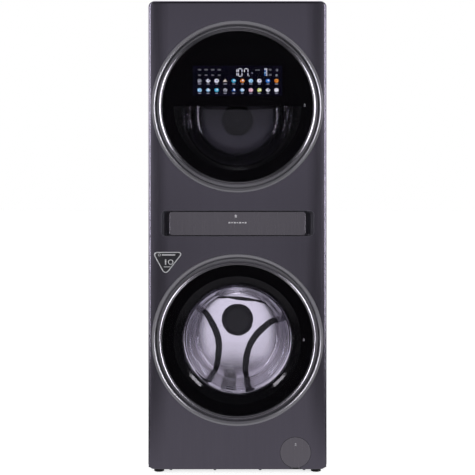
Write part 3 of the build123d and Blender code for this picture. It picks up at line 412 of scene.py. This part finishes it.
piece = endPiece(piece, "upper_door", "display_glow", finishes["display_glow"], bevel=housing["ease"])
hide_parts("display_module")

fieldLit = litMaterial("dimBackLight", "05050e", "090816", 1.0, 40.0)
piece = flatPiece("displayField", 4, 1.0, (0, display["fieldZ"]), glassBack - display["fieldLift"],
                  display["inkThick"], square, display["fieldHalf"])
endPiece(piece, "upper_door", "display_glow", fieldLit)

inks = {
    "white": ("c9cbe6", "ffffff"), "grey": ("5d5d66", "b9b9c6"), "beige": ("8d7c76", "fff4ea"),
    "teal": ("0d6f9c", "4fc3e8"), "orange": ("a8320c", "ffb24a"), "sky": ("3f8fd6", "c8efff"),
    "blue": ("123c9c", "3f8de0"), "pink": ("c86a86", "ffe3ee"), "yellow": ("8f9a2a", "f4ffa0"),
    "label": ("55555c", "75757c"), "caption": ("8f8fa6", "b4b4c8"),
}
inkMaterials = {key: litMaterial(key + "BackLitInk", *pair, 1.0, 4.0) for key, pair in inks.items()}
firstRow = [("grey", 5), ("white", 4), ("white", 7), ("beige", 3), ("teal", 24), ("orange", 24), ("sky", 24),
            ("white", 24), ("blue", 24), ("orange", 24)]
secondRow = [("sky", 24), ("sky", 4), ("teal", 24), ("grey", 5), ("blue", 3), ("sky", 4), ("pink", 24),
             ("yellow", 24), ("white", 4), ("white", 24)]
inkY = glassBack - display["inkLift"]


def joinPieces(name, parts):
    for part in parts:
        part.select_set(True)
    bpy.context.view_layer.objects.active = parts[0]
    bpy.ops.object.join()
    joined = bpy.context.object
    joined.name = name
    joined.data.name = name
    joined.select_set(False)
    return joined


def inkTile(ink, sides, radius, centre, scale=(1, 1), turn=0.0, lift=0.0):
    piece = flatPiece("ink", sides, radius, centre, inkY - lift, display["inkThick"], turn, scale)
    return endPiece(piece, "upper_door", "display_glow", inkMaterials[ink])


def inkBar(ink, centre, width, height, lift=0.0):
    # a bar is a four-sided tile turned square
    half = math.sqrt(0.5)
    return inkTile(ink, 4, 1.0, centre, (width * half, height * half), square, lift)


tiles = []
for row, icons in zip(display["rows"], (firstRow, secondRow)):
    for number, (ink, sides) in enumerate(icons):
        x = display["left"] + display["pitch"] * number
        radius = display["icon"] * (1.0 if sides > 8 else 1.1)
        tiles.append(inkTile(ink, sides, radius, (x, row), (1, 0.88)))
        second = "caption" if ink in ("white", "beige", "grey") else "white"
        if number % 3:
            tiles.append(inkTile(second, 12, radius * 0.42, (x + 1.6, row + 1.5), lift=display["overInk"]))
        tiles.append(inkBar("caption", (x, row - display["captionDrop"]), 10.5 - number % 3, 2.2))
upperLabels, lowerLabels = display["labelRows"]
for x in display["labelX"]:
    tiles.append(inkBar("label", (x, upperLabels), 11.0, 5.0))
    tiles.append(inkBar("label", (x, lowerLabels), 9.5, 4.4))
joinPieces("displayIcons", tiles)

# Seven-bar figures: each lit bar is a long six-sided tile

# how far across and up each bar lies, and whether it stands upright
bars = {"top": (0, 1, 0), "bottom": (0, -1, 0), "topLeft": (-1, 0.5, 1), "topRight": (1, 0.5, 1),
        "bottomLeft": (-1, -0.5, 1), "bottomRight": (1, -0.5, 1)}
figures = [("topRight", "bottomRight"), ("top", "bottom", "topLeft", "topRight", "bottomLeft", "bottomRight"),
           ("top", "topRight", "bottomRight", "topLeft")]
tiles = []
for middle, lit in zip(display["digitX"], figures):
    for name in lit:
        across, up, upright = bars[name]
        width, height = display["digitWidth"], display["digitHeight"]
        centre = (middle + across * width / 2, display["digitZ"] + up * height / 2)
        size = (1.5, height * 0.235) if upright else (width * 0.42, 1.5)
        turn = 0.0 if upright else math.pi / 6
        tiles.append(inkTile("white", 6, 1.0, centre, (size[0] * 1.15, size[1]), turn))
tiles.append(inkTile("white", 10, 1.4, (38.5, 1334.5)))
tiles.append(inkTile("caption", 5, 2.4, (49.0, 1344.0)))
tiles.append(inkBar("label", (67.0, 1354.0), 15.0, 4.2))
for step, ink in enumerate(("white", "blue", "sky", "blue")):
    tiles.append(inkBar(ink, (92.0, 1357.0 - step * 6.5), 4.0, 5.0))
    tiles.append(inkBar("white", (97.5, 1357.0 - step * 6.5), 3.2, 5.6))
for x, z, width in ((109.0, 1355.0, 9.0), (109.0, 1338.0, 9.5)):
    tiles.append(inkBar("label", (x, z), width, 6.0))
for x, z in ((132.0, 1354.0), (131.0, 1336.0)):
    tiles.append(inkTile("grey", 6, 4.2, (x, z)))
    tiles.append(inkTile("label", 6, 2.2, (x, z), lift=display["overInk"]))
joinPieces("displayFigures", tiles)
print("display made")

# Marks: a small open sign on each pane, a plain sign and caption on the drawer

sunk = 0.05  # a mark on plastic starts just under the surface
markInk = grainMaterial("paleScreenInk", "c6c4ca", "dad8de", 0.5, 3.0)


def tile(name, body, slotName, material, sides, radius, centre, y, scale=(1, 1), turn=0.0, thick=0.15):
    return endPiece(flatPiece(name, sides, radius, centre, y, thick, turn, scale), body, slotName, material)


for body, x, z in (("upper_door", 225.0, 1237.0), ("lower_door", 222.0, 452.0)):
    parts = [tile("mark", body, "door_black", markInk, 3, 3.0, (x, z + 2.0), inkY)]
    parts.append(tile("mark", body, "door_black", markInk, 4, 1.0, (x, z - 3.2), inkY, (4.6, 1.2), square))
    joinPieces(body.split("_")[0] + "OpenMark", parts)
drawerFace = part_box("drawer_front")[0].y / mm
caption = {"left": -27.0, "pitch": 9.0, "letters": 7, "z": 843.0}
parts = [tile("mark", "drawer", "panel_plastic", markInk, 5, 4.6, (-6.0, 866.0), drawerFace + sunk),
         tile("mark", "drawer", "panel_plastic", markInk, 4, 1.0, (-6.0, 861.0), drawerFace + sunk,
              (4.0, 1.4), square)]
for number in range(caption["letters"]):
    x = caption["left"] + number * caption["pitch"]
    parts.append(tile("mark", "drawer", "panel_plastic", markInk, 4, 1.0, (x, caption["z"]),
                      drawerFace + sunk, (4.6, 3.6 - number % 2), square))
joinPieces("drawerMark", parts)

# Filter flap: a fine bright metal ring on its edge, a painted highlight standing in for the light caught by its
# bevel, and a small pull sign

flap = {"radius": 51.0, "face": -313.0, "outer": 50.8, "inner": 49.6, "sink": 0.3, "stand": 0.25}
centre = middleOf("filter_flap")
centre.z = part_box("filter_flap")[1].z - flap["radius"] * mm
sunkY, proudY = flap["face"] + flap["sink"], flap["face"] - flap["stand"]
flapHighlightRing = [(flap["inner"], sunkY), (flap["inner"], proudY), (flap["outer"], proudY), (flap["outer"], sunkY),
       (flap["inner"], sunkY)]
piece = lathePiece("filterFlapHighlightRing", flapHighlightRing, centre, 96)
endPiece(piece, "filter_flap", "bezel_metal", finishes["bezel_metal"], bevel=0.1)
x, z = centre.x / mm, centre.z / mm
parts = [tile("mark", "filter_flap", "panel_plastic", markInk, 3, 3.2, (x, z + 29.0), flap["face"] + sunk),
         tile("mark", "filter_flap", "panel_plastic", markInk, 4, 1.0, (x, z + 23.5), flap["face"] + sunk,
              (4.4, 1.2), square)]
joinPieces("filterFlapMark", parts)
print("marks made")

# Sticker: a rounded triangle, point down, that follows the panel's crown

sticker = {"x": -233.5, "z": 718.5, "radius": 62.0, "squash": 0.86, "corner": 20.0, "line": 3.2, "lean": -9.0,
           "start": -320, "cut": 9, "cuts": 5, "film": 0.25, "lift": 0.02, "markLift": 0.32}
silverInk = grainMaterial("silverPolyesterFilm", "d2d2d6", "ececf0", 0.35, 3.0, Metallic=0.2)
darkInk = grainMaterial("printedPolyesterFilm", "232228", "2c2b31", 0.4, 6.0)


def wrapOnPanel(piece, offsetMm):
    # pressed back onto the crowned panel
    wrap = piece.modifiers.new("wrap", "SHRINKWRAP")
    wrap.target = nodes["front_panel"]
    wrap.wrap_method = "PROJECT"
    wrap.use_project_x = False
    wrap.use_project_y = True
    wrap.use_project_z = False
    wrap.use_negative_direction = True
    wrap.use_positive_direction = True
    wrap.offset = offsetMm * mm
    bpy.context.view_layer.objects.active = piece
    bpy.ops.object.modifier_apply(modifier=wrap.name)


def stickerPart(name, sides, radius, centre, scale, turn, corner, line, lift, *materials):
    bpy.ops.mesh.primitive_circle_add(vertices=sides, radius=radius * mm, fill_type="NGON",
                                      location=(centre[0] * mm, sticker["start"] * mm, centre[1] * mm),
                                      rotation=(facingFront, turn, 0))
    piece = startPiece(name)
    bpy.ops.mesh.select_all(action="SELECT")
    middle = Vector((centre[0], sticker["start"], centre[1])) * mm
    bpy.ops.transform.resize(value=(scale[0], 1, scale[1]), center_override=middle)
    if corner:
        choose(piece, "VERT", lambda c, n: c.z < centre[1] * mm - radius * scale[1] * 0.9 * mm)
        bpy.ops.transform.translate(value=(sticker["lean"] * mm, 0, 0))
        bpy.ops.mesh.select_all(action="SELECT")
        bpy.ops.mesh.bevel(offset=corner * mm, offset_pct=0, segments=8, affect="VERTICES")
    if line:
        bpy.ops.mesh.select_all(action="SELECT")
        bpy.ops.mesh.inset(thickness=line * mm)
        shape = bmesh.from_edit_mesh(piece.data)
        for face in shape.faces:
            face.material_index = 1 if face.select else 0
        bmesh.update_edit_mesh(piece.data)
    for step in range(-sticker["cuts"], sticker["cuts"] + 1):
        bpy.ops.mesh.select_all(action="SELECT")
        bpy.ops.mesh.bisect(plane_co=((sticker["x"] + step * sticker["cut"]) * mm, 0, 0), plane_no=(1, 0, 0))
    piece = endPiece(piece, "root", "drawer_plastic", *materials)
    piece.select_set(True)
    wrapOnPanel(piece, lift)
    wall = piece.modifiers.new("thickness", "SOLIDIFY")
    wall.thickness = sticker["film"] * mm
    wall.offset = 1.0
    bpy.ops.object.modifier_apply(modifier=wall.name)
    piece.select_set(False)
    return piece


stickerPart("triangleSticker", 3, sticker["radius"], (sticker["x"], sticker["z"]), (1, sticker["squash"]),
            math.pi, sticker["corner"], sticker["line"], sticker["lift"], silverInk, darkInk)
# sides, radius, middle, scale, turn and line of each plain mark
marks = [(24, 9.0, (-224.0, 711.0), (1, 1), 0.0, 2.6), (4, 1.0, (-241.0, 711.0), (3.2, 13.0), square, 0),
         (12, 4.4, (-262.0, 735.0), (1, 1), 0.0, 1.4), (4, 1.0, (-231.0, 735.0), (32.0, 3.2), square, 0),
         (4, 1.0, (-236.0, 695.0), (16.0, 1.6), square, 0)]
parts = []
for sides, radius, centre, scale, turn, line in marks:
    parts.append(stickerPart("stickerMark", sides, radius, centre, scale, turn, 0, line, sticker["markLift"],
                             silverInk, darkInk))
joinPieces("stickerMarks", parts)
print("sticker made")

# Door bowls: pressed glass with a stepped, ribbed cone that draws rings of light round it

bowl = {
    "rear": [(0, -191.0), (60, -191.6), (104, -193.0), (132, -195.4), (140, -198.0), (147, -203.0)],
    "ribs": 7, "coneStart": (150, -207), "coneGrows": 30, "coneLength": 79,
    "rib": [(0, 0), (3.4, -4.0), (3.6, -8.0)],
    "flange": [(184.5, -289.0), (186, -294.9), (196.5, -295.2), (196.5, -299.8), (182, -299.8), (178, -294.0)],
    "inside": [(173, -286.0), (160, -250.0), (147, -213.0), (141, -204.0), (131, -199.8), (104, -198.4),
               (0, -197.0)],
}
for door in ("lower", "upper"):
    centre = middleOf(door + "_door_bowl")
    profile = list(bowl["rear"])
    for number in range(bowl["ribs"]):
        part = number / bowl["ribs"]
        radius = bowl["coneStart"][0] + bowl["coneGrows"] * part
        y = bowl["coneStart"][1] - bowl["coneLength"] * part
        profile += [(radius + out, y + forward) for out, forward in bowl["rib"]]
    profile += bowl["flange"] + bowl["inside"]
    piece = lathePiece(door + "PressedGlassBowl", profile, centre)
    piece = endPiece(piece, door + "_door", "bowl_glass", finishes["bowl_glass"], smooth=50)
    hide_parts(door + "_door_bowl")
print("bowls made")

# Gasket: a folded rubber bellows between the front and the tub

gasketProfile = [(188, -288), (193, -288.6), (199, -285.5), (202.5, -279), (203, -270), (199, -264),
                 (193.5, -258), (192.5, -254), (195, -249), (199.5, -244), (202, -236), (203, -226),
                 (203, -216.5), (206, -216.5), (206, -227), (205, -238), (202.6, -246), (198, -251.5),
                 (196, -255), (197, -257.6), (202.4, -263), (206.4, -270), (206, -280), (202, -288),
                 (196, -291), (188, -290.5), (188, -288)]
piece = lathePiece("tubBellows", gasketProfile, Vector((0, 0, middleOf("washer_gasket").z)))
piece = endPiece(piece, None, "gasket_rubber", finishes["gasket_rubber"], smooth=60)
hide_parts("washer_gasket")
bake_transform(piece)

# Tub springs: one wire each, wound round a tube and hooked between the tub and the frame

spring = {"x": 240.0, "y": -20.0, "low": 612.0, "turns": 20, "pitch": 7.55, "radius": 11.0, "wire": 1.6,
          "capRadius": 12.4, "capHeight": 9.0, "capEase": 0.8}
low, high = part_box("tub_springs")
for side in (-1, 1):
    x = side * spring["x"] * mm
    bpy.ops.mesh.primitive_circle_add(vertices=8, radius=spring["wire"] * mm, rotation=(facingFront, 0, 0),
                                      location=(x + spring["radius"] * mm, spring["y"] * mm, spring["low"] * mm))
    piece = startPiece("leftTubSpring" if side < 0 else "rightTubSpring")
    bpy.ops.object.mode_set(mode="OBJECT")
    axis = bpy.data.objects.new("springAxis", None)
    axis.location = (x, spring["y"] * mm, spring["low"] * mm)
    bpy.context.scene.collection.objects.link(axis)
    wind = piece.modifiers.new("wind", "SCREW")
    wind.object = axis
    wind.screw_offset = spring["pitch"] * mm
    wind.iterations = spring["turns"]
    wind.steps = wind.render_steps = 20
    bpy.context.view_layer.update()
    bpy.ops.object.modifier_apply(modifier=wind.name)
    bpy.data.objects.remove(axis)
    bpy.ops.object.mode_set(mode="EDIT")
    capHeight = spring["capHeight"] * mm
    for cap in (low.z, high.z - capHeight):
        bpy.ops.mesh.primitive_cylinder_add(vertices=32, radius=spring["capRadius"] * mm, depth=capHeight,
                                            location=(x, spring["y"] * mm, cap + capHeight / 2))
        bpy.ops.mesh.bevel(offset=spring["capEase"] * mm, segments=2)
    piece = endPiece(piece, None, "bracket_steel", finishes["bracket_steel"], smooth=50)
    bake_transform(piece)
    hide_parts("tub_springs")
print("gasket and springs made")

# Studio

studio = {
    "floorSize": 40.0,
    "cameraY": -3.913,
    "cameraZ": 1.037,
    "lens": 81.4,
    "shift": -0.153,
    "nearRadiance": 0.04,
    "frontRadiance": 0.36,
    "backRadiance": 1.0,
    "stripRadiance": 11.0,
    "stripAt": (2.3, -2.3, 1.25),
    "stripSize": (0.5, 2.5),
    "backAt": (2.6, 1.2, 1.2),
    "backSize": (1.0, 2.4),
    "backBoxRadiance": 1.6,
    "wallLampY": -0.184,
    "wallLampSize": (0.28, 0.3),
    "wallLampRadiance": (1.7, 0.05),  # washer, dryer
    "wallLampDrop": (0.05, 0.0),
    "mouthLampY": -0.192,
    "mouthLampUp": 0.176,
    "mouthLampSize": (0.05, 0.006),
    "mouthLampRadiance": (110.0, 60.0),
    "floorShown": 0.75,
    "floorMirrored": (0.33, 0.06),  # in front of the cabinet, and past its sides
    "floorFade": (0.3, 0.85),
}
lens = bpy.data.cameras.new("camera")
lens.lens = studio["lens"]
lens.sensor_width = 36.0
lens.shift_y = studio["shift"]
lens.clip_end = 100.0
camera = bpy.data.objects.new("camera", lens)
camera.location = (0.0, studio["cameraY"], studio["cameraZ"])
camera.rotation_euler = (facingFront, 0, 0)
bpy.context.scene.collection.objects.link(camera)
bpy.context.scene.camera = camera
bpy.context.scene.view_settings.view_transform = "Standard"

world = bpy.data.worlds.new("studio")
bpy.context.scene.world = world
world.use_nodes = True
sky = world.node_tree
sky.nodes.clear()
direction = addNode(sky, "SeparateXYZ", {0: addNode(sky, "TexCoord").outputs["Generated"]})
position = addNode(sky, "MapRange", {"Value": direction.outputs[1], "From Min": -1.0, "From Max": 1.0})
ramp = addNode(sky, "ValToRGB", {0: position.outputs[0]})
stops = [(0.0, "frontRadiance"), (0.006, "frontRadiance"), (0.026, "nearRadiance"), (0.5, "nearRadiance"),
         (0.62, "backRadiance")]
while len(ramp.color_ramp.elements) < len(stops):
    ramp.color_ramp.elements.new(0.5)
for element, (where, key) in zip(ramp.color_ramp.elements, stops):
    element.position = where
    element.color = (studio[key], studio[key], studio[key] * 1.02, 1.0)
seen = addNode(sky, "LightPath").outputs["Is Camera Ray"]
look = addNode(sky, "Mix", {0: seen, 6: ramp.outputs[0], 7: (1, 1, 1, 1)}, data_type="RGBA")
background = addNode(sky, "Background", {"Color": look.outputs[2]})
addNode(sky, "OutputWorld", {"Surface": background.outputs[0]})


def softbox(name, at, towards, size, radiance):
    # a soft rectangular lamp of a given radiance, not seen by the camera itself
    lamp = bpy.data.lights.new(name, "AREA")
    lamp.shape = "RECTANGLE"
    lamp.size, lamp.size_y = size
    lamp.energy = radiance * math.pi * size[0] * size[1]
    holder = bpy.data.objects.new(name, lamp)
    holder.location = at
    holder.rotation_euler = (Vector(towards) - Vector(at)).to_track_quat("-Z", "Y").to_euler()
    holder.visible_camera = False
    bpy.context.scene.collection.objects.link(holder)


for side in (-1, 1):
    name = "leftStrip" if side < 0 else "rightStrip"
    x, y, z = studio["stripAt"]
    softbox(name, (side * x, y, z), (0, -0.3, 0.9), studio["stripSize"], studio["stripRadiance"])
    x, y, z = studio["backAt"]
    softbox(name + "Back", (side * x, y, z), (0, 0.1, 0.9), studio["backSize"], studio["backBoxRadiance"])
# a broad lamp behind each bowl lights the drum's end wall, and a small one its mouth
for number, centre in enumerate(drumCentres):
    z = centre - studio["wallLampDrop"][number]
    softbox("wallLamp", (0.0, studio["wallLampY"], z), (0.0, 0.1, z), studio["wallLampSize"],
            studio["wallLampRadiance"][number])
    mouth = (0.0, studio["mouthLampY"], centre + studio["mouthLampUp"])
    softbox("drumLamp", mouth, (0.0, 0.08, centre - 0.05), studio["mouthLampSize"],
            studio["mouthLampRadiance"][number])

bpy.ops.mesh.primitive_plane_add(size=studio["floorSize"], location=(0, 0, cadLow.z))
floor = bpy.context.object
floor.name = "floor"
made, tree = newMaterial("paleMattFloor")
ray = addNode(tree, "LightPath").outputs["Is Camera Ray"]
paint = addNode(tree, "BsdfDiffuse", {"Color": (0.8, 0.8, 0.8, 1)})
lift = addNode(tree, "Emission", {"Strength": studio["floorShown"]})
shadowed = addNode(tree, "AddShader", {0: paint.outputs[0], 1: lift.outputs[0]})
side = addNode(tree, "SeparateXYZ", {0: addNode(tree, "TexCoord").outputs["Object"]}).outputs[0]
side = addNode(tree, "Math", {0: side}, operation="ABSOLUTE").outputs[0]
near, far = studio["floorFade"]
bright, dim = studio["floorMirrored"]
fall = {"Value": side, "From Min": near, "From Max": far, "To Min": bright, "To Max": dim}
glow = addNode(tree, "Emission", {"Strength": addNode(tree, "MapRange", fall).outputs[0]})
closeMaterial(tree, addNode(tree, "MixShader", {0: ray, 1: glow.outputs[0], 2: shadowed.outputs[0]}).outputs[0])
floor.data.materials.append(made)
floor.select_set(False)
print("studio set")
